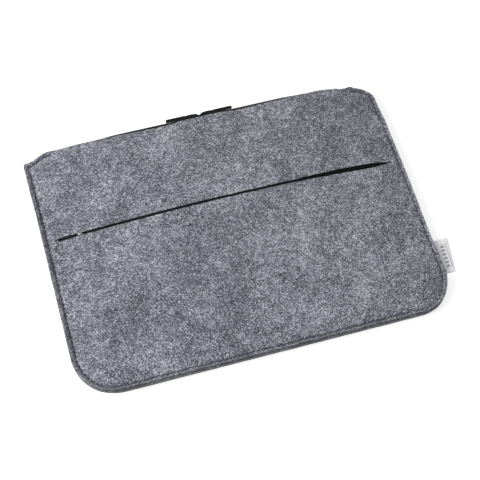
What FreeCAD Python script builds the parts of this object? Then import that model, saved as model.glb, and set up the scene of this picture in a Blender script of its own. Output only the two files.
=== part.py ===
import FreeCAD, Part
import math
import os

from FreeCAD import Rotation, Vector

# Felt sleeve for a 15.6 inch laptop, lying on its back. X runs along its width, Y from the closed
# bottom edge to the zipped mouth, Z up. The origin is the middle of the back panel's outer face.
# All sizes are in millimetres.

# Clearance between pieces that run on each other, and the hair's breadth left between sewn pieces
RUN = 0.1
SEWN_GAP = 0.02

# Sleeve: two felt panels, and the pocket's thin backing between them
WIDTH = 400.0
HEIGHT = 288.0
FELT = 3.5
LINING = 0.8
BOTTOM_CORNER = 44.0
MOUTH_CORNER_LEFT = 15.0
MOUTH_CORNER_RIGHT = 34.0
SEAM_INSET = 5.0
SEAM_TOP = 2 * FELT + LINING

# How far the empty sleeve puffs up above its seam, at the pocket zip and at the mouth
PUFF_AT_POCKET = 11.5
PUFF_AT_MOUTH = 9.0
POCKET_Y = 35.0

# Pocket backing: its level inside, how gently it comes down to the seam, and its ease between the felts
LINING_RISE = 5.2
LINING_SLOPE = 7.0
LINING_EASE = 0.08
LINING_EDGE = 0.4
FOLD_BEHIND_ZIP = 0.6
HEM_SHORT = 22.0

# Slit in the front panel that the pocket zip closes
SLIT_LEFT = -188.0
SLIT_RIGHT = 186.0
SLIT_HALF = 3.25

# Coil zips: a fine one on the pocket, a coarser one on the mouth. A row is one coil, seen square on:
# depth is from the loops' heads to the tape side, and the heads of two closed rows pass by overlap.
POCKET_ZIP = dict(depth=2.0, overlap=0.35, thick=1.8, pitch=3.4, tape=0.6, post=0.35, spread=0.85,
                  length=9.0, plate=0.9, crown=1.8, pull=20.0, pull_width=4.2, pull_thick=1.0)
MAIN_ZIP = dict(depth=3.1, overlap=0.5, thick=2.2, pitch=3.4, tape=0.45, post=0.5, spread=1.1,
                length=12.4, plate=1.2, crown=2.3, pull=31.0, pull_width=5.6, pull_thick=1.3)
POCKET_SLIDER_X = -160.5
MAIN_SLIDER_X = 7.0
MAIN_CHAIN_Y = 146.6
MAIN_CHAIN_Z = 8.4
MAIN_CHAIN_HALF = 166.0
POCKET_TAPE_TOP = -FELT - RUN
TAPE_SEWN = 12.0
POCKET_TAPE_REACH = POCKET_Y + SLIT_HALF + TAPE_SEWN - 2

# Woven label folded over and caught in the right-hand seam
LABEL_LOW_Y = -106.0
LABEL_HIGH_Y = -66.0
LABEL_OUT = 12.0
LABEL_PLY = 0.35
LABEL_BELLY = 1.3

# End of the mouth zip's tape, turned back in a small loop at the mouth's right corner
TAB_LEFT = 170.6
TAB_RIGHT = 183.4
TAB_PLY = 0.5
TAB_WIDTH = 2.2

SEAM_HALF = WIDTH / 2 - SEAM_INSET
MOUTH_Y = HEIGHT / 2
BOTTOM_Y = -HEIGHT / 2
ARCH_RADIUS = (SEAM_HALF ** 2 + PUFF_AT_POCKET ** 2) / (2 * PUFF_AT_POCKET)
ARCH_CENTRE_Z = SEAM_TOP + PUFF_AT_POCKET - ARCH_RADIUS

# Heights below and above the whole sleeve, for shapes that are trimmed later
BELOW_ALL = -20.0
ABOVE_ALL = 40.0

UP = Vector(0, 0, 1)
ORIGIN = Vector(0, 0, 0)


# ---- plain shapes ----

def prism(points, low, high):
    """Straight-sided solid over a closed outline of (x, y) points."""
    corners = [Vector(x, y, low) for x, y in points]
    return Part.Face(Part.makePolygon(corners + corners[:1])).extrude(UP * (high - low))


def box(x, y, z):
    """Box between pairs of low and high coordinates."""
    return Part.makeBox(x[1] - x[0], y[1] - y[0], z[1] - z[0], Vector(x[0], y[0], z[0]))


def arc(a, b, c):
    """Edge along the circle through three points."""
    return Part.Arc(a, b, c).toShape()


def smooth(t):
    """Step from 0 to 1 with level ends."""
    t = min(max(t, 0.0), 1.0)
    return t * t * (3 - 2 * t)


def one_solid(shape):
    """Fused shape with its leftover seams removed."""
    return shape.removeSplitter().Solids[0]


# ---- the sleeve's form ----

def puff(x, y):
    """Height of the front panel's outer face above the flat seam."""
    u = min(abs(x) / SEAM_HALF, 1.0)
    if y < POCKET_Y:
        w = min((POCKET_Y - y) / (POCKET_Y - BOTTOM_Y - SEAM_INSET), 1.0)
        return PUFF_AT_POCKET * (1 - w ** 2.6) * (1 - u * u)
    t = smooth((y - POCKET_Y) / (MOUTH_Y - POCKET_Y))
    crest = PUFF_AT_POCKET + (PUFF_AT_MOUTH - PUFF_AT_POCKET) * t
    return crest * (1 - u ** (2 + 2.2 * t))


def lining_rise(x, y):
    """Height of the pocket's backing above the flat seam: level inside, down to the seam all round."""
    return LINING_RISE * math.tanh((puff(x, y) / LINING_SLOPE) ** 3)


def sheet(height, base, thickness, rows):
    """Sheet of the given thickness whose outer face is base + height(x, y), drawn closer at the sides."""
    half = 10
    reach = WIDTH / 2 + 2
    columns = [reach * math.sin(math.pi / 2 * i / half) for i in range(-half, half + 1)]
    surface = Part.BSplineSurface()
    surface.interpolate([[Vector(x, y, base + height(x, y)) for y in rows] for x in columns])
    return surface.toShape().extrude(UP * -thickness)


def panel_outline(inset=0.0):
    """Face of the sleeve's outline: each corner is an arc, and the mouth's right corner is rounder."""
    left, right = -WIDTH / 2 + inset, WIDTH / 2 - inset
    low, high = BOTTOM_Y + inset, MOUTH_Y - inset
    corners = [(right, low, BOTTOM_CORNER, -45), (right, high, MOUTH_CORNER_RIGHT, 45),
               (left, high, MOUTH_CORNER_LEFT, 135), (left, low, BOTTOM_CORNER, -135)]
    edges = []
    ends = []
    for x, y, radius, middle in corners:
        r = radius - inset
        cx = x - math.copysign(r, x)
        cy = y - math.copysign(r, y)
        on = [Vector(cx + r * math.cos(math.radians(middle + d)),
                     cy + r * math.sin(math.radians(middle + d)), 0) for d in (-45, 0, 45)]
        edges.append(arc(*on))
        ends.append((on[0], on[2]))
    sides = [Part.makeLine(ends[i][1], ends[(i + 1) % 4][0]) for i in range(4)]
    ring = [edge for pair in zip(edges, sides) for edge in pair]
    return Part.Face(Part.Wire(ring))


def outline_solid(inset, low, high):
    """Panel outline as a straight-sided solid."""
    solid = panel_outline(inset).extrude(UP * (high - low))
    solid.translate(UP * low)
    return solid


# Rows across the sleeve that its surfaces are drawn through, from below the bottom edge to past the mouth
BOTTOM_ROWS = [BOTTOM_Y - 4, BOTTOM_Y, BOTTOM_Y + SEAM_INSET]
FORM_ROWS = (BOTTOM_ROWS + [BOTTOM_Y + 17 + 25 * i for i in range(6)]
             + [POCKET_Y + step for step in (-7, 2, 14, 34, 60, 86, 104)]
             + [MOUTH_Y + 1, MOUTH_Y + 4])
LINING_ROWS = BOTTOM_ROWS + [BOTTOM_Y + 20 + 20 * i for i in range(9)] + [POCKET_Y + 6, POCKET_Y + 12]


def slit(half, low=0.0, high=ABOVE_ALL):
    """Long hole with round ends, where the pocket zip shows."""
    left, right = SLIT_LEFT + half, SLIT_RIGHT - half
    y0, y1 = POCKET_Y - half, POCKET_Y + half
    wire = Part.Wire([
        Part.makeLine(Vector(left, y0, low), Vector(right, y0, low)),
        arc(Vector(right, y0, low), Vector(right + half, POCKET_Y, low), Vector(right, y1, low)),
        Part.makeLine(Vector(right, y1, low), Vector(left, y1, low)),
        arc(Vector(left, y1, low), Vector(left - half, POCKET_Y, low), Vector(left, y0, low))])
    return Part.Face(wire).extrude(UP * (high - low))


def label_space():
    """Room in the seam for the label's two plies."""
    return box((SEAM_HALF - 3, WIDTH), (LABEL_LOW_Y - 0.5, LABEL_HIGH_Y + 0.5), (FELT, FELT + LINING))


def arch_ring(low, high):
    """Slab that follows the pocket zip's arch in short chords, between two heights off the felt's face."""
    chords = 26
    reach = 30
    xs = [WIDTH * (i / chords - 0.5) for i in range(chords + 1)]

    def line(height):
        radius = ARCH_RADIUS + height
        return [Vector(x, POCKET_Y - reach, ARCH_CENTRE_Z + math.sqrt(radius ** 2 - x ** 2)) for x in xs]
    loop = line(high) + line(low)[::-1]
    return Part.Face(Part.makePolygon(loop + loop[:1])).extrude(Vector(0, 2 * reach, 0))


def make_lining():
    """Backing of the pocket: a level sheet, a fold standing up behind the zip, and a hem on its tape."""
    base = FELT + LINING - LINING_EASE
    fold_y = POCKET_Y + SLIT_HALF + FOLD_BEHIND_ZIP
    fold = (fold_y, fold_y + LINING)
    hem_top = POCKET_TAPE_TOP - POCKET_ZIP["tape"] - SEWN_GAP
    level = sheet(lining_rise, base, LINING - 2 * LINING_EASE, LINING_ROWS)
    level = level.common(outline_solid(LINING_EDGE, 0, ABOVE_ALL))
    level = level.common(box((-WIDTH, WIDTH), (BOTTOM_Y, fold[1]), (0, ABOVE_ALL)))
    level = level.cut(label_space())
    hem_reach = (-SLIT_RIGHT + HEM_SHORT, SLIT_RIGHT - HEM_SHORT)
    hem = arch_ring(hem_top - LINING, hem_top).common(
        box(hem_reach, (fold[0], POCKET_TAPE_REACH), (BELOW_ALL, ABOVE_ALL)))
    tall = 18.0
    above = sheet(lining_rise, base + tall, tall + LINING / 2, LINING_ROWS)
    wall = arch_ring(hem_top - tall, hem_top - LINING / 2)
    wall = wall.common(box(hem_reach, fold, (BELOW_ALL, ABOVE_ALL)))
    return one_solid(level.fuse(wall.common(above)).fuse(hem))


def make_panels():
    """Back panel, front panel with its slit, and the thin backing of the pocket."""
    back = outline_solid(0, 0, FELT)
    front = sheet(puff, SEAM_TOP, FELT, FORM_ROWS).common(outline_solid(0, 0, ABOVE_ALL))
    return dict(back_panel=back, front_panel=front.cut(slit(SLIT_HALF)), pocket_lining=make_lining())


# ---- zips, built flat: X along the chain, Y across it, Z out of its face, tape face at zero ----

def row_solid(zip_, start, end, side, shift, spread):
    """One coil as a comb: its loops reach in from the tape side, half a pitch off the other row's."""
    pitch = zip_["pitch"]
    root = zip_["depth"] * 0.62
    count = int((end - start) / pitch)
    heads = []
    backs = []
    for i in range(count):
        x = start + (i + shift) * pitch
        part = spread(x)
        tip = part - zip_["overlap"]
        base = tip + root
        heads += [(x - pitch * 0.27, base), (x - pitch * 0.15, tip),
                  (x + pitch * 0.15, tip), (x + pitch * 0.27, base)]
        backs.append((x, tip + zip_["depth"]))
    bends = [p for a, p, b in zip(backs, backs[1:], backs[2:]) if abs(a[1] + b[1] - 2 * p[1]) > 1e-6]
    outline = heads + [backs[-1]] + bends[::-1] + [backs[0]]
    return prism([(x, side * y) for x, y in outline], 0.0, zip_["thick"])


def parted_at(zip_, posts, open_to=None):
    """How far a row stands off at x: round each slider's post, and past the slider where it is open."""
    wide = zip_["spread"]
    reach = zip_["length"] * 0.45

    def spread(x):
        if open_to is not None:
            return wide * smooth((x - open_to + reach) / reach)
        gap = min(abs(x - p) for p in posts)
        inside = posts[0] <= x <= posts[-1]
        return wide if inside else wide * smooth(1 - gap / reach)
    return spread


def slider_outline(zip_, grow=0.0):
    """Shield seen from above: narrow tail, shoulders, and a nose over the post."""
    half = zip_["length"] / 2
    closed = zip_["depth"] - zip_["overlap"]
    tail = closed + 0.75 + grow
    wide = closed + zip_["spread"] + 0.7 + grow
    right = [(-half, tail - 0.5), (-half + 0.5, tail), (-half * 0.1, tail), (half * 0.35, wide),
             (half * 0.62, wide - 0.1), (half * 0.8, wide * 0.62), (half, zip_["post"] + 0.5)]
    return right[::-1] + [(x, -y) for x, y in right]


def slider_channel(zip_):
    """Y-shaped way for the two rows: one channel at the tail, two round the post at the nose."""
    half = zip_["length"] / 2
    closed = zip_["depth"] - zip_["overlap"] + 2 * RUN
    wide = closed + zip_["spread"]
    side = [(-half - 1, closed), (-half * 0.4, closed), (half * 0.25, wide), (half + 1, wide)]
    return side + [(x, -y) for x, y in side[::-1]]


def slider_post(zip_, low, high):
    """Lens-shaped post that parts the rows."""
    half = zip_["length"] / 2
    a, b = half * 0.3, half * 0.98
    m = (a + b) / 2
    wire = Part.Wire([arc(Vector(a, 0, low), Vector(m, zip_["post"], low), Vector(b, 0, low)),
                      arc(Vector(b, 0, low), Vector(m, -zip_["post"], low), Vector(a, 0, low))])
    return Part.Face(wire).extrude(UP * (high - low))


def slider_levels(zip_):
    """Heights of the slider's outer faces and of the channel between its plates."""
    floor = -zip_["tape"] - 0.2
    roof = zip_["thick"] + RUN
    return floor - zip_["plate"], floor, roof, roof + zip_["plate"]


def slider_body(zip_):
    """Cast slider: bottom plate, top plate with side flanges over the coils, and the post."""
    under, floor, roof, top = slider_levels(zip_)
    flange_low = RUN + 0.1
    upper = prism(slider_outline(zip_), flange_low, top)
    upper = upper.cut(prism(slider_channel(zip_), flange_low - 1, roof))
    lower = prism(slider_outline(zip_, -0.1), under, floor)
    rim = [edge for edge in upper.Edges
           if min(v.Z for v in edge.Vertexes) > top - 1e-6]
    upper = upper.makeChamfer(0.3, rim)
    return one_solid(upper.fuse(lower).fuse(slider_post(zip_, floor - 0.3, roof + 0.3)))


def slider_crown(zip_):
    """Arched bridge staked on the top plate, which holds the pull's bar."""
    top = slider_levels(zip_)[3]
    reach = zip_["length"] * 0.3
    wall = zip_["crown"] * 0.3
    outer = Part.Wire([arc(Vector(-reach, 0, top), Vector(0, 0, top + zip_["crown"]), Vector(reach, 0, top)),
                       Part.makeLine(Vector(reach, 0, top), Vector(-reach, 0, top))])
    inner = reach - wall * 1.2
    hole = Part.Wire([arc(Vector(-inner, 0, top), Vector(0, 0, top + zip_["crown"] - wall),
                          Vector(inner, 0, top)),
                      Part.makeLine(Vector(inner, 0, top), Vector(-inner, 0, top))])
    width = zip_["pull_width"] * 0.34
    arch = Part.Face(outer).extrude(Vector(0, width, 0)).cut(
        Part.Face(hole).extrude(Vector(0, width, 0)))
    arch.translate(Vector(0, -width / 2, 0))
    return arch


def bar_height(zip_):
    """Height of the pull's bar, loose under the crown."""
    return slider_levels(zip_)[3] + (zip_["crown"] * 0.7) / 2


def slider_pull(zip_):
    """Pull tab laid back along the chain: bar, two arms round the crown, then a long rounded tab."""
    width, thick, length = zip_["pull_width"], zip_["pull_thick"], zip_["pull"]
    bar = zip_["crown"] * 0.24
    z = bar_height(zip_)
    window = zip_["length"] * 0.3 + 1.4
    eye = width * 0.46
    neck = window + width * 0.5
    waist = width * 0.36
    head = [(-bar, width / 2 - 0.3), (-window * 0.8, width / 2 - 0.3), (-neck, waist),
            (-neck - 1.5, waist), (-neck - 3.5, width / 2), (-length + 1.2, width / 2),
            (-length, width / 2 - 1.2)]
    low, high = z - thick / 2, z + thick / 2
    tab = prism(head + [(x, -y) for x, y in head[::-1]], low, high)
    tab = tab.cut(prism([(1, eye / 2 + 0.2), (-window, eye / 2 + 0.2),
                         (-window, -eye / 2 - 0.2), (1, -eye / 2 - 0.2)], low - 1, high + 1))
    hole_x = -length + width * 0.55
    tab = tab.cut(Part.makeCylinder(width * 0.16, thick + 2, Vector(hole_x, 0, low - 1)))
    rim = [edge for edge in tab.Edges if abs(edge.Length) > length * 0.3]
    tab = tab.makeChamfer(thick * 0.22, rim)
    pin = Part.makeCylinder(bar, width - 0.6, Vector(0, 0.3 - width / 2, z), Vector(0, 1, 0))
    return one_solid(tab.fuse(pin))


# ---- placing the zips ----

def on_mouth(shape, x=0.0, flip=False):
    """Stand a flat-built piece on the mouth: its face outwards, and turned end for end if flipped."""
    turn = Rotation(Vector(1, 0, 0), -90)
    if flip:
        turn = turn.multiply(Rotation(UP, 180))
    shape = shape.copy()
    stand = FreeCAD.Placement(Vector(x, MAIN_CHAIN_Y, MAIN_CHAIN_Z), turn)
    shape.Placement = stand.multiply(shape.Placement)
    return shape


def on_arch(shape, x):
    """Set a flat-built piece on the pocket zip's arch, square to it at x."""
    shape = shape.copy()
    shape.translate(Vector(0, POCKET_Y, ARCH_RADIUS + POCKET_TAPE_TOP))
    shape.rotate(ORIGIN, Vector(0, 1, 0), math.degrees(math.asin(x / ARCH_RADIUS)))
    shape.translate(UP * ARCH_CENTRE_Z)
    return shape


def make_pocket_zip():
    """Rows and tapes bent to the arch, stops at both ends, and the slider parked at the left."""
    z = POCKET_ZIP
    nodes = {}
    nose = POCKET_SLIDER_X + z["length"] * 0.32
    spread = parted_at(z, [nose], open_to=nose)
    coil_ring = arch_ring(POCKET_TAPE_TOP, POCKET_TAPE_TOP + z["thick"])
    tape_ring = arch_ring(POCKET_TAPE_TOP - z["tape"], POCKET_TAPE_TOP)
    start, end = SLIT_LEFT + 5.4, SLIT_RIGHT - 4.4
    tape_edge = 1.4
    for name, side, shift in (("upper", 1, 0.0), ("lower", -1, 0.5)):
        comb = row_solid(z, start, end, side, shift, spread)
        tall = Part.Face(comb.Faces[-2].OuterWire).extrude(UP * (ABOVE_ALL - BELOW_ALL))
        tall.translate(Vector(0, POCKET_Y, BELOW_ALL - tall.BoundBox.ZMin))
        nodes[f"pocket_zip_{name}_coil"] = tall.common(coil_ring)
        near, far = sorted((POCKET_Y + side * tape_edge, POCKET_Y + side * (POCKET_TAPE_REACH - POCKET_Y)))
        cut = box((SLIT_LEFT + 1.5, SLIT_RIGHT - 0.3), (near, far), (BELOW_ALL, ABOVE_ALL))
        nodes[f"pocket_zip_{name}_tape"] = tape_ring.common(cut)
    stop_top = z["thick"] + 0.3
    stop = box((-0.8, 0.8), (-2.3, 2.3), (0, stop_top))
    stop = stop.makeFillet(0.5, [e for e in stop.Edges if abs(e.CenterOfMass.z - stop_top) < 0.01])
    stops = [on_arch(stop, x) for x in (SLIT_LEFT + 3.0, SLIT_RIGHT - 2.0)]
    nodes["pocket_zip_stops"] = Part.Compound(stops)
    nodes["pocket_slider"] = on_arch(slider_body(z), POCKET_SLIDER_X)
    nodes["pocket_slider_crown"] = on_arch(slider_crown(z), POCKET_SLIDER_X)
    nodes["pocket_pull"] = on_arch(slider_pull(z), POCKET_SLIDER_X)
    return nodes


def make_main_zip():
    """Straight chain just outside the mouth, two sliders nose to nose, and both tapes."""
    z = MAIN_ZIP
    nodes = {}
    nose = MAIN_SLIDER_X - z["length"] * 0.32
    spread = parted_at(z, [-nose, nose])
    for name, side, shift in (("back", 1, 0.0), ("front", -1, 0.5)):
        row = row_solid(z, -MAIN_CHAIN_HALF, MAIN_CHAIN_HALF, side, shift, spread)
        nodes[f"main_zip_{name}_coil"] = on_mouth(row)
    web = (MAIN_CHAIN_Y - z["tape"], MAIN_CHAIN_Y)
    span = (-MAIN_CHAIN_HALF - 4, MAIN_CHAIN_HALF + 4)
    inner = MOUTH_Y - TAPE_SEWN
    part = 1.3
    bend = 0.9
    low = FELT + SEWN_GAP
    back_web = box(span, web, (low, MAIN_CHAIN_Z - part))
    back_flange = box(span, (inner, web[1]), (low, low + z["tape"]))
    back_tape = one_solid(back_web.fuse(back_flange))
    corner = [e for e in back_tape.Edges
              if abs(e.CenterOfMass.y - web[1]) < 0.01 and abs(e.CenterOfMass.z - low) < 0.01]
    nodes["main_zip_back_tape"] = back_tape.makeFillet(bend * z["tape"], corner)
    cover = SEAM_TOP - FELT - SEWN_GAP
    flange = sheet(puff, cover, z["tape"], FORM_ROWS)
    below = sheet(puff, cover - z["tape"] / 2, 20.0, FORM_ROWS)
    flange = flange.common(box(span, (inner, web[1]), (0, ABOVE_ALL)))
    front_web = box(span, web, (MAIN_CHAIN_Z + part, 30)).common(below)
    nodes["main_zip_front_tape"] = one_solid(flange.fuse(front_web))
    for name, x, flip in (("left", -MAIN_SLIDER_X, False), ("right", MAIN_SLIDER_X, True)):
        nodes[f"main_slider_{name}"] = on_mouth(slider_body(z), x, flip)
        nodes[f"main_slider_{name}_crown"] = on_mouth(slider_crown(z), x, flip)
        nodes[f"main_pull_{name}"] = on_mouth(slider_pull(z), x, flip)
    return nodes


# ---- small sewn pieces ----

def make_label():
    """Ribbon label: two plies in the seam and a loop standing out past the edge."""
    y = LABEL_LOW_Y
    depth = Vector(0, LABEL_HIGH_Y - LABEL_LOW_Y, 0)
    root = SEAM_HALF - 2
    edge = WIDTH / 2
    tip = edge + LABEL_OUT
    middle = FELT + LINING / 2
    half = LINING / 2 - SEWN_GAP

    def loop(offset):
        swell = LABEL_BELLY - offset
        flat = max(half - offset, 0.03)
        return Part.Wire([
            Part.makeLine(Vector(root, y, middle + flat), Vector(edge, y, middle + flat)),
            arc(Vector(edge, y, middle + flat), Vector(edge + 6, y, middle + swell),
                Vector(tip - offset - 1, y, middle + swell * 0.7)),
            arc(Vector(tip - offset - 1, y, middle + swell * 0.7), Vector(tip - offset, y, middle),
                Vector(tip - offset - 1, y, middle - swell * 0.7)),
            arc(Vector(tip - offset - 1, y, middle - swell * 0.7),
                Vector(edge + 6, y, middle - swell), Vector(edge, y, middle - flat)),
            Part.makeLine(Vector(edge, y, middle - flat), Vector(root, y, middle - flat)),
            Part.makeLine(Vector(root, y, middle - flat), Vector(root, y, middle + flat))])
    outer = Part.Face(loop(0)).extrude(depth)
    inner = Part.Face(loop(LABEL_PLY)).extrude(depth)
    keep = box((edge - 0.2, tip + 1), (y - 1, LABEL_HIGH_Y + 1), (0, 10))
    return outer.cut(inner.common(keep))


def make_end_tab():
    """Loop of zip tape standing out at the mouth's right corner, where the front and back panels meet."""
    low = FELT + 0.2

    def loop(ply):
        left = Vector(TAB_LEFT + ply, MOUTH_Y - 2, low)
        crown = Vector((TAB_LEFT + TAB_RIGHT) / 2, MOUTH_Y + 2.6 - ply, low)
        right = Vector(TAB_RIGHT - ply, MOUTH_Y - 8, low)
        return Part.Face(Part.Wire([arc(left, crown, right), Part.makeLine(right, left)]))
    return loop(0).extrude(UP * TAB_WIDTH).cut(loop(TAB_PLY).extrude(UP * TAB_WIDTH))


def main():
    os.makedirs("parts", exist_ok=True)
    nodes = make_panels()
    nodes.update(make_main_zip())
    nodes.update(make_pocket_zip())
    nodes["side_label"] = make_label()
    nodes["main_zip_end_tab"] = make_end_tab()
    for name, shape in nodes.items():
        shape.exportStep(f"parts/{name}.step")
        print(name, shape.isValid(), len(shape.Solids), round(shape.Volume, 1))


main()
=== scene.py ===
import math

import bpy
import numpy as np
from mathutils import Matrix, Vector, noise


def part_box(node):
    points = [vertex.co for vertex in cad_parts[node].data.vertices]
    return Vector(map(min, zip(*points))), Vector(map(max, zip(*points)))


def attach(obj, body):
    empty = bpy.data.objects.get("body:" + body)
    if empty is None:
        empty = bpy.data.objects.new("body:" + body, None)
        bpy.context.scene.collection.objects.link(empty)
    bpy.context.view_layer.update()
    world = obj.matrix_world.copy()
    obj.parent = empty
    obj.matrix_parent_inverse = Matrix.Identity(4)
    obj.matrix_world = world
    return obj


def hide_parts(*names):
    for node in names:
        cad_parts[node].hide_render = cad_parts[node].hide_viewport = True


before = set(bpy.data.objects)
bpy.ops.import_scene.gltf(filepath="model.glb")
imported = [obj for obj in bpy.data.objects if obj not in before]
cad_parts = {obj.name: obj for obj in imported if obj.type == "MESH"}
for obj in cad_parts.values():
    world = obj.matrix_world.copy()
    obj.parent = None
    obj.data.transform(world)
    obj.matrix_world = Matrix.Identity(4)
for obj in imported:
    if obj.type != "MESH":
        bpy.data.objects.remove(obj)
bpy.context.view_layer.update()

bpy.ops.object.select_all(action="DESELECT")
mm = 0.001


# ---- Studio ----
# The sleeve lies on its back on a plain white light table, under one broad window-like light from the
# left and soft light from all round. The camera looks down from beyond the bottom edge.

VIEW_AZIMUTH = math.radians(-18.7)
VIEW_ELEVATION = math.radians(61.4)
VIEW_ROLL = math.radians(3.0)
VIEW_DISTANCE = 1311 * mm
VIEW_OFF_CENTRE = (4.4 * mm, -8.2 * mm)

toward_camera = Vector((math.sin(VIEW_AZIMUTH) * math.cos(VIEW_ELEVATION),
                        -math.cos(VIEW_AZIMUTH) * math.cos(VIEW_ELEVATION),
                        math.sin(VIEW_ELEVATION)))
level_right = Vector((math.cos(VIEW_AZIMUTH), math.sin(VIEW_AZIMUTH), 0))
level_up = toward_camera.cross(level_right)
view_right = level_right * math.cos(VIEW_ROLL) + level_up * math.sin(VIEW_ROLL)
view_up = level_up * math.cos(VIEW_ROLL) - level_right * math.sin(VIEW_ROLL)
eye = (view_right * VIEW_OFF_CENTRE[0] + view_up * VIEW_OFF_CENTRE[1]
       + toward_camera * VIEW_DISTANCE)
bpy.ops.object.camera_add()
camera = bpy.context.object
facing = Matrix((view_right, view_up, toward_camera)).transposed().to_4x4()
camera.matrix_world = Matrix.Translation(eye) @ facing
camera.data.sensor_width = 36.0
camera.data.lens = 92.3
camera.data.clip_start = 10 * mm
bpy.context.scene.camera = camera


def soft_light(name, at, size, power):
    """A square softbox that faces the sleeve."""
    bpy.ops.object.light_add(type="AREA", location=at)
    box = bpy.context.object
    box.name = name
    box.data.size = size
    box.data.energy = power
    box.rotation_mode = "QUATERNION"
    box.rotation_quaternion = Vector(at).to_track_quat("Z", "Y")


soft_light("window_light", (-1.8, 0.1, 1.1), 1.2, 40)
soft_light("fill_light", (-0.2, -1.3, 1.9), 1.4, 6)
world = bpy.data.worlds.new("white_room")
bpy.context.scene.world = world
world.use_nodes = True
world.node_tree.nodes["Background"].inputs["Color"].default_value = (1, 1, 1, 1)
world.node_tree.nodes["Background"].inputs["Strength"].default_value = 0.53
bpy.context.scene.view_settings.view_transform = "Standard"

bpy.ops.mesh.primitive_plane_add(size=8, location=(0, 0, -0.2 * mm))
table = bpy.context.object
table.name = "white_table"
table_paint = bpy.data.materials.new("white_table_paint")
table_paint.use_nodes = True
table_surface = table_paint.node_tree.nodes["Principled BSDF"]
table_surface.inputs["Base Color"].default_value = (0.85, 0.85, 0.85, 1)
table_surface.inputs["Roughness"].default_value = 0.9
table_surface.inputs["Emission Color"].default_value = (1, 1, 1, 1)
table_surface.inputs["Emission Strength"].default_value = 0.46
table.data.materials.append(table_paint)


# ---- Felt panels ----
# Two panels of 3.5 mm needled felt, pressed from grey, dark and near-white fibres, cut with raw edges.
# They are sewn together 3 to 5 mm in from the edge, down both sides and along the bottom, and puff up
# between the seams. The front panel has one long slit for the pocket zip.

class Yarn:
    """A value inside a finish. Arithmetic on it adds the nodes that work it out."""

    def __init__(self, finish, socket):
        self.finish = finish
        self.socket = socket

    def maths(self, operation, first, second=0.0, third=0.0):
        return self.finish.node("Math", {0: first, 1: second, 2: third}, operation=operation)

    def __add__(self, other):
        return self.maths("ADD", self, other)

    def __sub__(self, other):
        return self.maths("SUBTRACT", self, other)

    def __rsub__(self, other):
        return self.maths("SUBTRACT", other, self)

    def __mul__(self, other):
        return self.maths("MULTIPLY", self, other)

    def __gt__(self, other):
        return self.maths("GREATER_THAN", self, other)

    def __lt__(self, other):
        return self.maths("LESS_THAN", self, other)

    def __abs__(self):
        return self.maths("ABSOLUTE", self)

    __radd__ = __add__
    __rmul__ = __mul__

    def between(self, low, high):
        """0 below low, 1 above high, smooth in between."""
        return self.finish.node("MapRange", {0: self, 1: low, 2: high}, interpolation_type="SMOOTHSTEP")

    def wave(self):
        return self.maths("SINE", self)


class Finish:
    """A material in the making."""

    def __init__(self, name, **surface):
        self.material = bpy.data.materials.new(name)
        self.material.use_nodes = True
        self.tree = self.material.node_tree
        self.surface = self.tree.nodes["Principled BSDF"]
        for socket, value in surface.items():
            self.surface.inputs[socket.replace("_", " ")].default_value = value
        self.place = self.node("TexCoord", out="Object")

    def node(self, kind, inputs=None, out=0, stops=None, **settings):
        made = self.tree.nodes.new("ShaderNode" + kind)
        for setting, value in settings.items():
            setattr(made, setting, value)
        if stops:
            elements = made.color_ramp.elements
            while len(elements) < len(stops):
                elements.new(1.0)
            for element, (position, colour) in zip(elements, stops):
                element.position = position
                element.color = (*colour, 1)
        for socket, value in (inputs or {}).items():
            self.join(value, made.inputs[socket])
        return Yarn(self, made.outputs[out])

    def join(self, value, socket):
        if isinstance(value, Yarn):
            self.tree.links.new(value.socket, socket)
        else:
            socket.default_value = value

    def axes(self):
        """The three coordinates of a place, each as a value."""
        self.node("SeparateXYZ", {0: self.place})
        return [Yarn(self, out) for out in self.tree.nodes[-1].outputs]

    def grain(self, scale, detail=2.0, roughness=0.5, distortion=0.0):
        """Soft noise with a given number of lumps to the metre."""
        return self.node("TexNoise", {"Vector": self.place, "Scale": scale, "Detail": detail,
                                      "Roughness": roughness, "Distortion": distortion})

    def blend(self, share, first, second):
        return self.node("Mix", {0: share, 6: first, 7: second}, out=2, data_type="RGBA")

    def paint(self, **sockets):
        for socket, value in sockets.items():
            self.join(value, self.surface.inputs[socket.replace("_", " ")])

    def relief(self, height, depth, strength=1.0):
        """Surface relief of the given depth where height goes from 0 to 1."""
        self.paint(Normal=self.node("Bump", {"Height": height, "Distance": depth, "Strength": strength}))


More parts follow.
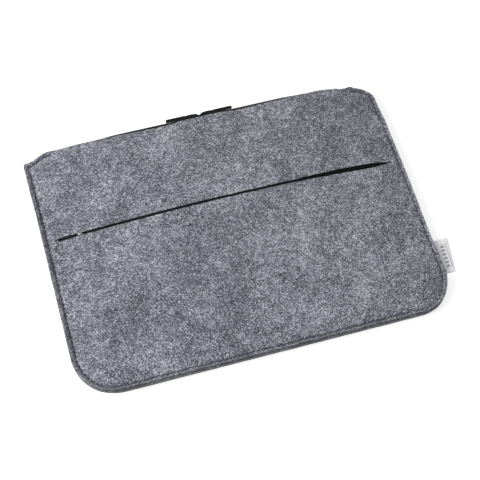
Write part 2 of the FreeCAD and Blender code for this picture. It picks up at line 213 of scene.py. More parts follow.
def felt_finish():
    felt = Finish("grey_heather_felt", Roughness=0.95, Sheen_Weight=0.25, Sheen_Roughness=0.6,
                  Specular_IOR_Level=0.12)
    clouds = felt.grain(22, detail=2)
    patches = felt.grain(120, detail=3, roughness=0.6)
    clumps = felt.grain(420, detail=3, roughness=0.65, distortion=0.4)
    specks = felt.grain(760, detail=2, roughness=0.6, distortion=0.8)
    strands = felt.grain(640, detail=1, distortion=2.6)
    hairs = felt.grain(1500, detail=1, distortion=3.0)
    pale_hair = 1 - (abs(strands - 0.5) * 22).between(0.0, 1.0)
    dark_hair = 1 - (abs(hairs - 0.47) * 16).between(0.0, 1.0)
    cut_edge_and_painted_shade = felt.node("Attribute", out="Fac", attribute_name="cut_edge_and_painted_shade")
    # The cut-edge attribute darkens the raw edges: partly their own darker tone, partly painted shade on the
    # edges that face the bottom.
    tone = (0.5 - cut_edge_and_painted_shade * 0.36 + (clouds - 0.5) * 0.50 + (patches - 0.5) * 0.65 + (clumps - 0.5) * 1.15
            + (specks - 0.5) * 2.4 + pale_hair * 0.12 - dark_hair * 0.11)
    colour = felt.node("ValToRGB", {0: tone}, stops=[
        (0.06, (0.027, 0.027, 0.039)), (0.34, (0.091, 0.092, 0.119)), (0.50, (0.166, 0.167, 0.207)),
        (0.70, (0.300, 0.302, 0.356)), (0.98, (0.620, 0.622, 0.690))])
    felt.paint(Base_Color=colour)
    fuzz = felt.grain(3200, detail=1)
    felt.relief(specks * 0.5 + clumps * 0.5 + pale_hair * 0.35 + fuzz * 0.3, 0.35 * mm, 0.8)
    return felt.material


FELT_FINISH = felt_finish()

panel_low, panel_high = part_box("back_panel")
front_low, front_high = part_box("front_panel")
FELT = panel_high.z - panel_low.z
HALF_WIDTH = panel_high.x
BOTTOM_Y, MOUTH_Y = panel_low.y, panel_high.y
SEAM_INSET = 5 * mm
SEAM_HALF = HALF_WIDTH - SEAM_INSET
SEAM_TOP = front_low.z + FELT
PUFF_AT_POCKET = front_high.z - SEAM_TOP
PUFF_AT_MOUTH = 7.5 * mm
POCKET_Y = 35 * mm
# Each corner's side in X, side in Y and radius.
CORNERS = [(1, -1, 42 * mm), (-1, -1, 44 * mm), (1, 1, 21 * mm), (-1, 1, 2.5 * mm)]
ZIP_END = 168 * mm
UNSEWN_Y = MOUTH_Y - 14 * mm


def ease(t):
    """0 to 1 with level ends."""
    t = np.clip(t, 0, 1)
    return t * t * (3 - 2 * t)


def puff(x, y):
    """Height of the front panel above its seam."""
    u = np.minimum(np.abs(x) / SEAM_HALF, 1)
    w = np.clip((POCKET_Y - y) / (POCKET_Y - BOTTOM_Y - SEAM_INSET), 0, 1)
    below = PUFF_AT_POCKET * (1 - w ** 2.6) * (1 - u * u)
    t = ease((y - POCKET_Y) / (MOUTH_Y - POCKET_Y))
    above = (PUFF_AT_POCKET + (PUFF_AT_MOUTH - PUFF_AT_POCKET) * t) * (1 - u ** (2 + 2.2 * t))
    return np.where(y < POCKET_Y, below, above)


def corner_centres():
    for sx, sy, radius in CORNERS:
        edge_y = MOUTH_Y if sy > 0 else BOTTOM_Y
        yield sx, sy, radius, sx * (HALF_WIDTH - radius), edge_y - sy * radius


def round_corners(x, y):
    """Draws a square-cornered grid in to the panel's rounded corners."""
    for sx, sy, radius, cx, cy in corner_centres():
        s = (x - cx) * sx / radius
        t = (y - cy) * sy / radius
        inside = (s > 1e-6) & (t > 1e-6)
        shrink = np.where(inside, np.maximum(s, t) / np.maximum(np.hypot(s, t), 1e-9), 1)
        x = np.where(inside, cx + (x - cx) * shrink, x)
        y = np.where(inside, cy + (y - cy) * shrink, y)
    return x, y


def waviness(x, y, seed, lumps, height):
    """Slow unevenness of handled felt."""
    points = np.stack([x * lumps, y * lumps, np.full_like(x, seed)], axis=1)
    return height * np.array([noise.noise(p) for p in points])


def edge_distance(x, y):
    """How far in from the cut edge a point of a panel lies."""
    d = np.minimum(HALF_WIDTH - np.abs(x), np.minimum(y - BOTTOM_Y, MOUTH_Y - y))
    for sx, sy, radius, cx, cy in corner_centres():
        s, t = (x - cx) * sx, (y - cy) * sy
        d = np.where((s > 0) & (t > 0), radius - np.hypot(s, t), d)
    return d


def hand_cut(x, y):
    """Takes the outline off its straight lines: the mouth dips in the middle and falls away at both
    ends, where its left corner stands out as a nub, the right side is drawn in, and the margins outside
    the seam are narrower on the right and along the bottom."""
    near_mouth = ease((y - MOUTH_Y + 46 * mm) / (46 * mm))
    dip = 2.9 * mm * ease(1.35 - np.abs(x) / (105 * mm)) - 2.4 * mm * np.exp(-(x / (33 * mm)) ** 4)
    left_fall = 7 * mm * (1 - ease((x + 195 * mm) / (23 * mm)))
    right_fall = 6.5 * mm * ease((x - 135 * mm) / (58 * mm))
    above_corner = ease((y + 142 * mm) / (22 * mm))
    waist = (1.7 + 1.4 * np.exp(-((y + 60 * mm) / (46 * mm)) ** 2)) * mm * above_corner
    shoulder = 1.5 * mm * ease((y - 85 * mm) / (30 * mm))
    flare = 0.8 * mm * ease((y - 60 * mm) / (60 * mm))
    sideways = (flare * ease((-x - 120 * mm) / (80 * mm))
                + (waist + shoulder) * ease((x - 110 * mm) / (90 * mm)))
    inside = ease(edge_distance(x, y) / SEAM_INSET)
    right_margin = 1.5 * mm * inside * ease((x - 150 * mm) / (45 * mm)) * ease((y + 110 * mm) / (40 * mm))
    bottom_margin = 2.2 * mm * inside * ease(1 - (y - BOTTOM_Y - SEAM_INSET) / (35 * mm))
    drop = 1.1 * mm * ease((BOTTOM_Y + 30 * mm - y) / (30 * mm))
    ragged = waviness(x, y, 11.0, 75, 0.3 * mm)
    return (x - sideways + right_margin + ragged,
            y - near_mouth * (dip + left_fall + right_fall) - drop - bottom_margin + ragged)


def seam_share(x, y):
    """1 where the panels are sewn together, 0 along the open mouth."""
    at_mouth = ease((y - UNSEWN_Y) / (4 * mm))
    along_zip = 1 - ease((np.abs(x) - ZIP_END + 6 * mm) / (10 * mm))
    return 1 - at_mouth * along_zip


def spaced(stretches):
    """Grid lines along stretches of (start, end, spacing)."""
    lines = [stretches[0][0]]
    for start, end, spacing in stretches:
        count = max(1, round((end - start) / spacing))
        lines += [start + (end - start) * (i + 1) / count for i in range(count)]
    return np.array(lines)


def grid_piece(name, xs, ys):
    """Flat sheet whose grid lines lie at xs and ys."""
    bpy.ops.object.select_all(action="DESELECT")
    bpy.ops.mesh.primitive_grid_add(x_subdivisions=len(xs) - 1, y_subdivisions=len(ys) - 1, size=2,
                                    calc_uvs=False)
    piece = bpy.context.object
    piece.name = name
    piece.data.name = name
    co = points_of(piece)
    column = np.rint((co[:, 0] + 1) / 2 * (len(xs) - 1)).astype(int)
    row = np.rint((co[:, 1] + 1) / 2 * (len(ys) - 1)).astype(int)
    set_points(piece, np.stack([xs[column], ys[row], np.zeros(len(co))], axis=1))
    return piece, column, row


def points_of(piece):
    co = np.empty(len(piece.data.vertices) * 3)
    piece.data.vertices.foreach_get("co", co)
    return co.reshape(-1, 3)


def set_points(piece, co):
    piece.data.vertices.foreach_set("co", co.ravel())
    piece.data.update()


def take(piece):
    """Makes a piece the only selected one."""
    bpy.ops.object.select_all(action="DESELECT")
    piece.select_set(True)
    bpy.context.view_layer.objects.active = piece


def thicken(piece, thickness, offset=-1.0):
    """Gives a sheet its thickness."""
    take(piece)
    solid = piece.modifiers.new("thickness", "SOLIDIFY")
    solid.thickness = thickness
    solid.offset = offset
    bpy.ops.object.modifier_apply(modifier=solid.name)
    bpy.ops.object.shade_smooth_by_angle(angle=math.radians(50))


def soften(piece, width):
    """Rounds the cut edges of a thick sheet."""
    take(piece)
    soft = piece.modifiers.new("soft_edge", "BEVEL")
    soft.width = width
    soft.segments = 2
    soft.limit_method = "ANGLE"
    soft.angle_limit = math.radians(50)
    bpy.ops.object.modifier_apply(modifier=soft.name)
    bpy.ops.object.shade_smooth_by_angle(angle=math.radians(50))


def mark_cut_edges_and_paint_shade(piece):
    """Marks the raw edges, which are a little darker than the felt's faces, and paints shade on the edges
    that face the bottom, away from the light, so they come out darkest along the bottom.
    """
    normals = np.empty(len(piece.data.polygons) * 3)
    piece.data.polygons.foreach_get("normal", normals)
    to_bottom, upward = -normals[1::3], normals[2::3]
    # 0.35 on every steep face is the raw edge's own darker tone; the rest, up to 1 on faces turned towards
    # the bottom edge, is painted shade.
    darker = ease((0.9 - np.abs(upward)) / 0.4) * (0.35 + 0.65 * ease(to_bottom * 1.2))
    cut = piece.data.attributes.new("cut_edge_and_painted_shade", "FLOAT", "FACE")
    cut.data.foreach_set("value", darker.astype(np.float32))


def remove_faces(piece, wanted):
    """Deletes the faces whose centres the test picks."""
    take(piece)
    bpy.ops.object.mode_set(mode="EDIT")
    bpy.ops.mesh.select_all(action="DESELECT")
    bpy.ops.object.mode_set(mode="OBJECT")
    for face in piece.data.polygons:
        face.select = wanted(face.center)
    bpy.ops.object.mode_set(mode="EDIT")
    bpy.ops.mesh.select_mode(type="FACE")
    bpy.ops.mesh.delete(type="FACE")
    bpy.ops.object.mode_set(mode="OBJECT")


SLIT_LEFT, SLIT_RIGHT = -188.5 * mm, 187 * mm
SLIT_HALF = 3.1 * mm
SLIT_LIP = 1.1 * mm
RIM = 12 * mm
FINE, COARSE = 0.9 * mm, 2.6 * mm


def slit_opening(x):
    """Half the slit's width: pointed at both ends, it gapes over the parked pull and towards the right."""
    left_point = ease((x - SLIT_LEFT) / (6 * mm))
    right_point = np.clip((SLIT_RIGHT - x) / (24 * mm), 0, 1) ** 0.6
    over_pull = 0.35 * mm * (1 - ease((x + 168 * mm) / (14 * mm)))
    at_right = 1.45 * mm * ease((x - 65 * mm) / (75 * mm))
    return (1.5 * mm + over_pull + at_right) * np.minimum(left_point, right_point)


def seam_pull(x):
    """How hard the stitching pulls: less along the right side."""
    return 1 - 0.45 * ease((x - 130 * mm) / (60 * mm))


def seam_groove(x, y, depth, splay=0.0):
    """Valley that the stitching pulls in to the felt. Outside it the cut edge splays off the other panel."""
    d = edge_distance(x, y)
    valley = np.exp(-((d - SEAM_INSET) / (1.25 * mm)) ** 2)
    return (splay * ease(1 - d / SEAM_INSET) - depth * seam_pull(x) * valley) * seam_share(x, y)


across = spaced([(-HALF_WIDTH, -HALF_WIDTH + RIM, FINE), (-HALF_WIDTH + RIM, HALF_WIDTH - RIM, COARSE),
                 (HALF_WIDTH - RIM, HALF_WIDTH, FINE)])
up_front = spaced([(BOTTOM_Y, BOTTOM_Y + RIM, FINE), (BOTTOM_Y + RIM, POCKET_Y - RIM, COARSE),
                   (POCKET_Y - RIM, POCKET_Y - SLIT_HALF, FINE),
                   (POCKET_Y - SLIT_HALF, POCKET_Y + SLIT_HALF, 2 * SLIT_HALF),
                   (POCKET_Y + SLIT_HALF, POCKET_Y + RIM, FINE), (POCKET_Y + RIM, MOUTH_Y - RIM, COARSE),
                   (MOUTH_Y - RIM, MOUTH_Y, FINE)])
front, column, row = grid_piece("front_panel_felt", across, up_front)
co = points_of(front)
x, flat_y = round_corners(co[:, 0], co[:, 1])
from_pocket = flat_y - POCKET_Y
near_slit = np.clip(1 - (np.abs(from_pocket) - SLIT_HALF) / RIM, 0, 1)
in_span = (x > SLIT_LEFT) & (x < SLIT_RIGHT)
opening = np.where(in_span, slit_opening(x), 0.0)
y = flat_y + np.sign(from_pocket) * (opening - SLIT_HALF + 0.12 * mm) * near_slit
lip = np.exp(-(np.maximum(np.abs(from_pocket) - SLIT_HALF, 0) / (5 * mm)) ** 2) * in_span
lift = lip * (0.35 * mm + waviness(x, y, 7.0, 18, 0.35 * mm)) * ease(opening / SLIT_HALF)
z = (SEAM_TOP + puff(x, y) + seam_groove(x, flat_y, 1.8 * mm, splay=1.5 * mm) + lift
     + waviness(x, y, 2.0, 11, 0.9 * mm) * ease(edge_distance(x, flat_y) / (30 * mm))
     + waviness(x, y, 5.0, 45, 0.22 * mm))
short_bottom = 0.9 * mm * (1 - ease((flat_y - BOTTOM_Y) / (25 * mm)))
cut_x, cut_y = hand_cut(x, y + short_bottom)
set_points(front, np.stack([cut_x, cut_y, z], axis=1))
remove_faces(front, lambda c: abs(c.y - POCKET_Y) < 0.8 * mm and SLIT_LEFT < c.x < SLIT_RIGHT)
thicken(front, FELT)

# The felt's lips are pressed thin along the slit, where the zip's tapes are sewn on behind them.
co = points_of(front)
outer, inner = np.split(co, 2)
from_pocket = np.abs(inner[:, 1] - POCKET_Y)
pressed = SLIT_LIP + (FELT - SLIT_LIP) * ease((from_pocket - 3.7 * mm) / (3 * mm))
at_slit = (inner[:, 0] > SLIT_LEFT - 4 * mm) & (inner[:, 0] < SLIT_RIGHT + 4 * mm) & (from_pocket < 7 * mm)
inner[:, 2] = np.where(at_slit, outer[:, 2] - pressed, inner[:, 2])
set_points(front, co)
soften(front, 0.8 * mm)
mark_cut_edges_and_paint_shade(front)
front.data.materials.append(FELT_FINISH)
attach(front, "sleeve")
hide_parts("front_panel")

up_back = spaced([(BOTTOM_Y, BOTTOM_Y + RIM, FINE), (BOTTOM_Y + RIM, MOUTH_Y - RIM, COARSE * 1.3),
                  (MOUTH_Y - RIM, MOUTH_Y, FINE)])
back, column, row = grid_piece("back_panel_felt", across, up_back)
co = points_of(back)
x, y = round_corners(co[:, 0], co[:, 1])
cut_x, cut_y = hand_cut(x, y)
set_points(back, np.stack([cut_x, cut_y, FELT + seam_groove(x, y, 0.2 * mm)], axis=1))
thicken(back, FELT)
co = points_of(back)
under = co[:, 2] < FELT * 0.5
groove = np.tile(seam_groove(x, y, 1.0 * mm), 2)
unevenness = np.maximum(waviness(co[:, 0], co[:, 1], 9.0, 20, 0.25 * mm), 0)
co[:, 2] = np.where(under, np.maximum(co[:, 2], 0) - groove + unevenness, co[:, 2])
set_points(back, co)
soften(back, 0.8 * mm)
mark_cut_edges_and_paint_shade(back)
back.data.materials.append(FELT_FINISH)
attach(back, "sleeve")
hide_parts("back_panel")


# ---- Seam stitching ----
# A lockstitch of dark polyester thread, 5.5 mm a stitch, sunk in the groove it pulls in the felt. It
# runs up both sides and along the bottom, and shows on the front and on the back.

def thread_finish(colour):
    thread = Finish("dark_seam_thread", Roughness=0.6, Sheen_Weight=0.2, Specular_IOR_Level=0.3)
    twist = thread.node("TexWave", {"Vector": thread.place, "Scale": 900.0, "Distortion": 1.5},
                        bands_direction="DIAGONAL")
    thread.paint(Base_Color=thread.blend(twist, tuple(c * 0.6 for c in colour) + (1,), (*colour, 1)))
    thread.relief(twist, 0.12 * mm)
    return thread.material


STITCH_PITCH = 5.5 * mm
STITCH_LENGTH = 4.3 * mm
THREAD = 1.1 * mm
seam_thread = thread_finish((0.045, 0.045, 0.052))


def seam_path():
    """Points along the stitched line: down the left side, along the bottom, up the right side and
    round the mouth's right corner."""
    points = [(SEAM_INSET - HALF_WIDTH, UNSEWN_Y)]
    by_corner = {(sx, sy): (radius - SEAM_INSET, cx, cy) for sx, sy, radius, cx, cy in corner_centres()}
    for corner, start in (((-1, -1), 180), ((1, -1), 270), ((1, 1), 0)):
        radius, cx, cy = by_corner[corner]
        for step in range(13):
            angle = math.radians(start + step / 12 * 90)
            points.append((cx + radius * math.cos(angle), cy + radius * math.sin(angle)))
    flat = np.array(points + [(HALF_WIDTH - 24 * mm, MOUTH_Y - SEAM_INSET)])
    legs = np.diff(flat, axis=0)
    fine = [flat[i] + leg * share for i, leg in enumerate(legs)
            for share in np.arange(0, 1, 4 * mm / max(np.hypot(*leg), 4 * mm))]
    fine = np.array(fine + [flat[-1]])
    return np.column_stack(hand_cut(fine[:, 0], fine[:, 1]))


def repeat(piece, count, step):
    """Repeats a piece along X."""
    row = piece.modifiers.new("row", "ARRAY")
    row.count = count
    row.use_relative_offset = False
    row.use_constant_offset = True
    row.constant_offset_displace = (step, 0, 0)
    bpy.ops.object.modifier_apply(modifier=row.name)


def along(path, distance):
    """Places and directions at distances along a path."""
    legs = np.diff(path, axis=0)
    length = np.hypot(legs[:, 0], legs[:, 1])
    reached = np.concatenate([[0], np.cumsum(length)])
    leg = np.clip(np.searchsorted(reached, distance, side="right") - 1, 0, len(legs) - 1)
    share = (distance - reached[leg]) / length[leg]
    return path[leg] + legs[leg] * share[:, None], legs[leg] / length[leg][:, None]


def stitched_seam(name, height):
    """Row of stitches laid along the seam at the height of the felt's face."""
    path = seam_path()
    total = np.hypot(*np.diff(path, axis=0).T).sum()
    bpy.ops.mesh.primitive_uv_sphere_add(segments=8, ring_count=6, radius=THREAD / 2)
    stitches = bpy.context.object
    stitches.name = name
    co = points_of(stitches)
    co[:, 0] *= STITCH_LENGTH / THREAD
    co[:, 2] *= 0.7
    set_points(stitches, co)
    repeat(stitches, int(total / STITCH_PITCH), STITCH_PITCH)
    co = points_of(stitches)
    middle = np.rint(co[:, 0] / STITCH_PITCH) * STITCH_PITCH
    centre, ahead = along(path, middle + STITCH_PITCH / 2)
    lean = 0.12
    run = co[:, 0] - middle
    aside = np.stack([-ahead[:, 1], ahead[:, 0]], axis=1)
    at = centre + ahead * run[:, None] + aside * (co[:, 1] + run * lean)[:, None]
    at_height, outward = height(at[:, 0], at[:, 1])
    sunk = (run / (STITCH_LENGTH / 2)) ** 2 * 0.45 * mm
    set_points(stitches, np.column_stack([at, at_height + outward * (co[:, 2] - sunk)]))
    bpy.ops.object.shade_smooth()
    stitches.data.materials.append(seam_thread)
    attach(stitches, "sleeve")


def front_face(x, y):
    return SEAM_TOP + puff(x, y) - (1.4 * seam_pull(x) - 0.3) * mm, 1


def back_face(x, y):
    return np.full_like(x, 0.8 * mm), -1


stitched_seam("seam_stitches_front", front_face)
stitched_seam("seam_stitches_back", back_face)


# ---- Pocket lining ----
# Thin black plain-woven polyester that backs the pocket. It lies level between the felts, is caught in
# the seam all round, and folds up behind the zip, where it is hemmed to the upper tape.

def plain_weave_finish(threads):
    """Plain weave with a given number of threads to the metre."""
    cloth = Finish("black_plain_weave", Roughness=0.8, Sheen_Weight=0.3, Sheen_Roughness=0.5,
                   Specular_IOR_Level=0.25)
    x, y, _ = cloth.axes()
    warp = (x * (threads * math.pi)).wave()
    weft = (y * (threads * math.pi)).wave()
    weave = abs(warp * weft)
    slub = cloth.grain(260, detail=2)
    cloth.paint(Base_Color=cloth.blend(weave * 0.7 + slub * 0.5,
                                       (0.008, 0.008, 0.009, 1), (0.028, 0.028, 0.031, 1)))
    cloth.relief(weave, 0.12 * mm)
    return cloth.material


LINING = 0.64 * mm
LINING_RISE = 5.2 * mm
LINING_SLOPE = 7.0 * mm
HEM_END = 164 * mm
lining_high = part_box("pocket_lining")[1]
fold_y = POCKET_Y + 4.2 * mm
hem_y = lining_high.y


def lining_rise(x, y):
    return LINING_RISE * np.tanh((puff(x, y) / LINING_SLOPE) ** 3)


columns = spaced([(-HALF_WIDTH + 0.4 * mm, -HEM_END, 3 * mm), (-HEM_END, HEM_END, 5 * mm),
                  (HEM_END, HALF_WIDTH - 0.4 * mm, 3 * mm)])
level_rows = spaced([(BOTTOM_Y + 0.4 * mm, BOTTOM_Y + RIM, 3 * mm), (BOTTOM_Y + RIM, fold_y, 6 * mm)])
wall_rows, hem_rows = 5, 4
rows = np.arange(len(level_rows) + wall_rows + hem_rows, dtype=float)
lining, column, row = grid_piece("pocket_lining_cloth", columns, rows)
x = points_of(lining)[:, 0]
level_y = level_rows[np.minimum(row, len(level_rows) - 1)]
climb = np.clip((row - len(level_rows) + 1) / wall_rows, 0, 1)
hem = np.clip((row - len(level_rows) + 1 - wall_rows) / hem_rows, 0, 1)
y = level_y + hem * (hem_y - fold_y)
x, y = round_corners(x, y)
base = FELT + 0.72 * mm
foot = base + lining_rise(x, np.minimum(y, fold_y))
under_tape = SEAM_TOP + puff(x, np.full_like(x, POCKET_Y)) - FELT - 0.85 * mm
z = foot + climb * np.maximum(under_tape - foot, 0)
cut_x, cut_y = hand_cut(x, y)
set_points(lining, np.stack([cut_x, cut_y, z], axis=1))
remove_faces(lining, lambda c: c.y > fold_y + 0.2 * mm and abs(c.x) > HEM_END)
thicken(lining, LINING)
lining.data.materials.append(plain_weave_finish(1500))
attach(lining, "sleeve")
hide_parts("pocket_lining")


# ---- Zip tapes ----
# Woven polyester tape, herringbone, half a millimetre thick. The mouth's tapes are sewn inside the
# felt and turn out over its edge to carry the coils. The pocket's tapes lie flat under the slit's lips.

def tape_finish():
    tape = Finish("black_herringbone_tape", Roughness=0.8, Sheen_Weight=0.08, Specular_IOR_Level=0.15)
    x, y, z = tape.axes()
    chevron = abs(((y + z) * 260).wave())
    rib = (x * 7000 + chevron * 9).wave() * 0.5 + 0.5
    tape.paint(Base_Color=tape.blend(rib, (0.004, 0.004, 0.005, 1), (0.016, 0.016, 0.018, 1)))
    tape.relief(rib, 0.15 * mm)
    return tape.material


TAPE_FINISH = tape_finish()


def tape(name, node, span, profile, thickness, held_by):
    """Strip of tape: profile gives, for every x, the strip's rows as (y, z) pairs."""
    xs = spaced([(span[0], span[1], 2.5 * mm)])
    rows = profile(xs)
    piece, column, row = grid_piece(name, xs, np.arange(len(rows), dtype=float))
    ys = np.stack([r[0] for r in rows])
    zs = np.stack([r[1] for r in rows])
    set_points(piece, np.column_stack([xs[column], ys[row, column], zs[row, column]]))
    thicken(piece, thickness, offset=0.0)
    piece.data.materials.append(TAPE_FINISH)
    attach(piece, "sleeve")
    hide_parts(node)
    span[1] - span[0]


MAIN_TAPE = 0.45 * mm
tape_low, tape_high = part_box("main_zip_back_tape")
CHAIN_Y = tape_high.y
CHAIN_Z = 8.4 * mm
TAPE_INNER = tape_low.y


def level(xs, value):
    return np.full_like(xs, value)


def chain_sag(x):
    """How far the chain is drawn in and down: a little clear of its sliders, more where it is tucked
    between the panels at both ends."""
    clear = ease((np.abs(x) - 16 * mm) / (20 * mm))
    tucked = ease((np.abs(x) - 90 * mm) / (70 * mm))
    return -(0.4 * clear + 3.0 * tucked) * mm, -(0.9 * clear + 1.5 * tucked) * mm


def back_tape_rows(xs):
    drawn_in, drawn_down = chain_sag(xs)
    z = FELT + 0.02 * mm + MAIN_TAPE / 2
    y = CHAIN_Y - MAIN_TAPE / 2 + drawn_in
    rows = [(TAPE_INNER + (y - 0.8 * mm - TAPE_INNER) * i / 5, level(xs, z)) for i in range(6)]
    rows.append((y - 0.25 * mm, level(xs, z + 0.22 * mm)))
    rise = CHAIN_Z + drawn_down - 1.3 * mm - z - 0.8 * mm
    return rows + [(y, z + 0.8 * mm + rise * i / 2) for i in range(3)]


def front_tape_rows(xs):
    def under(y):
        return SEAM_TOP - FELT + puff(xs, y + 0 * xs) - 0.3 * mm - MAIN_TAPE / 2

    drawn_in, drawn_down = chain_sag(xs)
    y = CHAIN_Y - MAIN_TAPE / 2 + drawn_in
    rows = []
    for i in range(6):
        at = TAPE_INNER + (y - 0.8 * mm - TAPE_INNER) * i / 5
        rows.append((at, under(np.minimum(at, MOUTH_Y))))
    top = under(MOUTH_Y)
    rows.append((y - 0.25 * mm, top - 0.22 * mm))
    foot = np.minimum(CHAIN_Z + drawn_down + 1.3 * mm, top - 1.0 * mm)
    return rows + [(y, top - 0.8 * mm + (foot - top + 0.8 * mm) * i / 2) for i in range(3)]


main_span = (tape_low.x, tape_high.x)
tape("main_tape_back", "main_zip_back_tape", main_span, back_tape_rows, MAIN_TAPE, "back_panel_felt")
tape("main_tape_front", "main_zip_front_tape", main_span, front_tape_rows, MAIN_TAPE, "front_panel_felt")

POCKET_TAPE = 0.6 * mm


def pocket_tape_rows(side):
    def rows(xs):
        z = SEAM_TOP + puff(xs, level(xs, POCKET_Y)) - FELT - 0.12 * mm - POCKET_TAPE / 2
        near, far = 1.5 * mm, 13.2 * mm
        return [(level(xs, POCKET_Y + side * (near + (far - near) * i / 5)), z) for i in range(6)]
    return rows


pocket_low, pocket_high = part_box("pocket_zip_upper_tape")
for name, node, side in (("pocket_tape_upper", "pocket_zip_upper_tape", 1),
                         ("pocket_tape_lower", "pocket_zip_lower_tape", -1)):
    tape(name, node, (pocket_low.x, pocket_high.x), pocket_tape_rows(side), POCKET_TAPE, "front_panel_felt")


# ---- Zip coils ----
# Nylon monofilament wound in a flattened coil and sewn along each tape's edge. The heads of two
# facing coils mesh, and part round the sliders' posts. The pocket's are open to the right of its slider.

def nylon_finish():
    nylon = Finish("black_nylon", Roughness=0.32, Specular_IOR_Level=0.25)
    dust = nylon.grain(900, detail=2)
    nylon.paint(Base_Color=nylon.blend(dust, (0.004, 0.004, 0.005, 1), (0.012, 0.012, 0.013, 1)),
                Roughness=0.26 + dust * 0.2)
    return nylon.material


NYLON_FINISH = nylon_finish()


def close_tube(piece):
    """Joins a rolled-up sheet along its long edges, faces outwards."""
    take(piece)
    bpy.ops.object.mode_set(mode="EDIT")
    bpy.ops.mesh.select_all(action="SELECT")
    bpy.ops.mesh.remove_doubles(threshold=0.01 * mm)
    bpy.ops.mesh.normals_make_consistent(inside=False)
    bpy.ops.object.mode_set(mode="OBJECT")
    bpy.ops.object.shade_smooth()


def coil(name, node, start, end, pitch, depth, thick, side, shift, place):
    """Row of flattened loops, its heads towards the chain's middle, put in place by the given rule."""
    wire = thick * 0.17
    bpy.ops.object.select_all(action="DESELECT")
    bpy.ops.mesh.primitive_torus_add(major_segments=10, minor_segments=6, major_radius=thick / 2 - wire,
                                     minor_radius=wire, rotation=(0, math.pi / 2, 0))
    loops = bpy.context.object
    loops.name = name
    bpy.ops.object.transform_apply(location=False, rotation=True, scale=False)
    co = points_of(loops)
    stretch = (depth - thick) / 2 + 0.1 * mm
    co[:, 0] += np.clip(co[:, 2] / (thick / 2), -1, 1) * pitch * 0.22
    co[:, 1] += np.where(np.abs(co[:, 1]) > 0.05 * mm, np.sign(co[:, 1]), 0) * stretch
    set_points(loops, co)
    repeat(loops, int((end - start) / pitch), pitch)
    co = points_of(loops)
    x = start + co[:, 0] + shift * pitch
    y = side * (depth / 2) + co[:, 1]
    z = thick / 2 + co[:, 2]
    set_points(loops, np.column_stack(place(x, y, z, side)))
    bpy.ops.object.shade_smooth()
    loops.data.materials.append(NYLON_FINISH)
    xs = spaced([(start, end, 3 * mm)])
    core, column, row = grid_piece(name + "_core_cord", xs, np.arange(9, dtype=float))
    round_it = row / 8 * math.tau
    y = side * depth / 2 + (depth / 2 - 1.3 * wire) * np.cos(round_it)
    z = thick / 2 + (thick / 2 - 1.3 * wire) * np.sin(round_it)
    set_points(core, np.column_stack(place(xs[column], y, z, side)))
    close_tube(core)
    core.data.materials.append(TAPE_FINISH)
    for piece in (loops, core):
        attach(piece, "sleeve")
        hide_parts(node)


MAIN_OVERLAP, MAIN_SPREAD = 0.5 * mm, 1.1 * mm
right_slider_low, right_slider_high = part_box("main_slider_right")
post_x = (right_slider_low.x + right_slider_high.x) / 2 - 12.4 * mm * 0.32


def on_mouth(x, y, z, side):
    gap = np.abs(x) - post_x
    parted = MAIN_SPREAD * ease(1 - np.maximum(gap, 0) / (5.6 * mm))
    across = y + side * (parted - MAIN_OVERLAP)
    drawn_in, drawn_down = chain_sag(x)
    return x, CHAIN_Y + z + drawn_in, CHAIN_Z - across + drawn_down


main_low, main_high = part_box("main_zip_back_coil")
for name, node, side, shift in (("main_coil_back", "main_zip_back_coil", 1, 0.0),
                                ("main_coil_front", "main_zip_front_coil", -1, 0.5)):
    coil(name, node, main_low.x + 1 * mm, main_high.x - 1 * mm, pitch=1.35 * mm, depth=3.1 * mm,
         thick=2.2 * mm, side=side, shift=shift, place=on_mouth)

pocket_slider_low, pocket_slider_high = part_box("pocket_slider")
POCKET_OVERLAP, POCKET_SPREAD = 0.35 * mm, 0.85 * mm
pocket_post_x = (pocket_slider_low.x + pocket_slider_high.x) / 2 + 9 * mm * 0.32


def on_arch(x, y, z, side):
    parted = POCKET_SPREAD * ease((x - pocket_post_x + 4 * mm) / (4 * mm))
    across = y + side * (parted - POCKET_OVERLAP)
    face = SEAM_TOP + puff(x, np.full_like(x, POCKET_Y)) - FELT - 0.1 * mm
    return x, POCKET_Y + across, face + z


coil_low, coil_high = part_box("pocket_zip_upper_coil")
for name, node, side, shift in (("pocket_coil_upper", "pocket_zip_upper_coil", 1, 0.0),
                                ("pocket_coil_lower", "pocket_zip_lower_coil", -1, 0.5)):
    coil(name, node, coil_low.x + 0.5 * mm, coil_high.x - 0.5 * mm, pitch=1.15 * mm, depth=2.0 * mm,
         thick=1.8 * mm, side=side, shift=shift, place=on_arch)


# ---- Sliders, pulls and stops ----
# Zinc die castings: the sliders, the mouth's crowns and all the pulls in black lacquer with a few dull
# scuffs; the pocket's crown and the end stops in bright nickel.

def lacquer_finish(colour, worn, roughness):
    lacquer = Finish("black_lacquer", Roughness=roughness, Specular_IOR_Level=0.22)
    peel = lacquer.grain(1400, detail=2)
    scuff = lacquer.grain(500, detail=4, roughness=0.7).between(0.60, 0.74)
    lacquer.paint(Base_Color=lacquer.blend(scuff, (*colour, 1), (*worn, 1)),
                  Roughness=roughness + peel * 0.15 + scuff * 0.15)
    lacquer.relief(peel, 0.02 * mm)
    return lacquer.material


def nickel_finish():
    nickel = Finish("bright_nickel", Metallic=1.0, Roughness=0.2)
    brushing = nickel.grain(2400, detail=2)
    nickel.paint(Base_Color=nickel.blend(brushing, (0.62, 0.62, 0.63, 1), (0.86, 0.86, 0.87, 1)),
                 Roughness=0.30 + brushing * 0.22)
    nickel.relief(brushing, 0.01 * mm)
    return nickel.material


black_lacquer = lacquer_finish((0.007, 0.007, 0.008), (0.020, 0.020, 0.021), 0.34)
bright_nickel = nickel_finish()


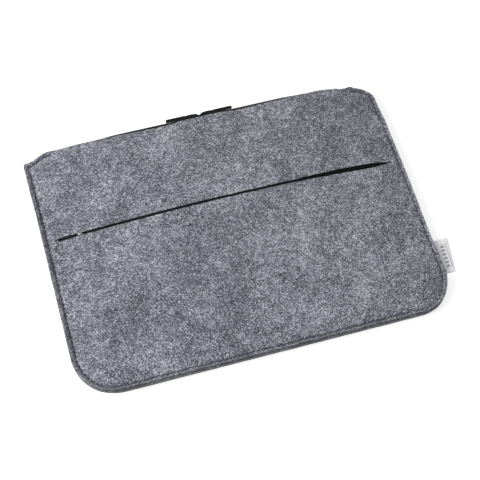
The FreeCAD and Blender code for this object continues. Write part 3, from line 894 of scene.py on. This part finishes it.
def dress(node, finish):
    """Gives a CAD node its finish, and leaves its mesh as it is."""
    piece = bpy.data.objects[node]
    piece.data.materials.clear()
    piece.data.materials.append(finish)


for node in ("main_slider_left", "main_slider_right", "main_slider_left_crown", "main_slider_right_crown",
             "main_pull_left", "main_pull_right", "pocket_slider", "pocket_pull"):
    dress(node, black_lacquer)
for node in ("pocket_slider_crown", "pocket_zip_stops"):
    dress(node, bright_nickel)


# ---- Side label ----
# White satin ribbon 40 mm wide, folded over and caught in the right-hand seam. Its print is replaced
# by plain grey bars.

def label_finish():
    ribbon = Finish("white_satin_ribbon", Roughness=0.55, Sheen_Weight=0.2, Specular_IOR_Level=0.35)
    x, y, _ = ribbon.axes()
    satin = (y * 9000).wave() * 0.5 + 0.5
    cloudy = ribbon.grain(140, detail=2)
    tilt = x - y * 0.06
    in_run = abs(y + 88 * mm) < 14.5 * mm
    wide_bars = (abs(tilt - 209.6 * mm) < 1.9 * mm) * ((y * (math.tau / (4.6 * mm))).wave() > -0.5)
    thin_bars = (abs(tilt - 213.6 * mm) < 0.7 * mm) * ((y * (math.tau / (2.1 * mm))).wave() > -0.4)
    printed = in_run * (wide_bars + thin_bars)
    white = ribbon.blend(cloudy, (0.82, 0.81, 0.84, 1), (0.93, 0.92, 0.95, 1))
    ribbon.paint(Base_Color=ribbon.blend(printed * 0.8, white, (0.22, 0.22, 0.24, 1)))
    ribbon.relief(satin, 0.06 * mm)
    return ribbon.material


label_low, label_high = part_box("side_label")
label_middle = (label_low.z + label_high.z) / 2
LABEL_PLY = 0.35 * mm
label_columns = spaced([(label_low.y + 0.2 * mm, label_high.y - 0.2 * mm, 1.2 * mm)])
label_steps = 56
label, column, row = grid_piece("side_label_ribbon", label_columns, np.arange(label_steps + 1, dtype=float))
run = row / label_steps * 2 - 1
reach = 1 - np.abs(run)
y = label_columns[column] - 1.8 * mm
upward = (y - label_low.y) / (label_high.y - label_low.y) * 2 - 1
fold_x = label_high.x + upward * 2.8 * mm
x = label_low.x + (fold_x - label_low.x) * reach
swell = np.sin(np.clip((x - HALF_WIDTH) / (fold_x - HALF_WIDTH), 0, 1) * math.pi) ** 0.6
gap = (0.2 + 0.85 * swell) * mm * np.clip((fold_x - x) / (0.4 * mm), 0, 1)
ripple = np.sin((y - label_low.y) / (label_high.y - label_low.y) * math.pi * 1.3 + 0.4)
sway = 0.5 * mm * ripple * ease((x - HALF_WIDTH) / (10 * mm))
z = label_middle - np.sign(run) * gap + sway
set_points(label, np.column_stack([x - 0.2 * mm, y, z]))
thicken(label, LABEL_PLY * 0.8, offset=0.0)
label.data.materials.append(label_finish())
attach(label, "sleeve")
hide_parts("side_label")


# ---- Zip tape's end ----
# The mouth zip's tape is turned back in a small loop where the chain ends, at the mouth's right corner.

tab_low, tab_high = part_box("main_zip_end_tab")
tab_rows = spaced([(tab_low.z, tab_high.z, 0.55 * mm)])
loop_steps = 40
tab, column, row = grid_piece("main_zip_tape_end", np.arange(loop_steps + 1, dtype=float), tab_rows)
turn = column / loop_steps * math.pi * 1.1 - 0.05 * math.pi
x = (tab_low.x + tab_high.x) / 2 - 3 * mm - np.cos(turn) * (tab_high.x - tab_low.x - 0.6 * mm) / 2
y = tab_high.y - 2.1 * mm - (1 - np.sin(turn)) * 6 * mm - (x - tab_low.x) * 0.10
set_points(tab, np.column_stack([x, y, tab_rows[row]]))
thicken(tab, 0.5 * mm, offset=0.0)
tab.data.materials.append(TAPE_FINISH)
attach(tab, "sleeve")
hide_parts("main_zip_end_tab")
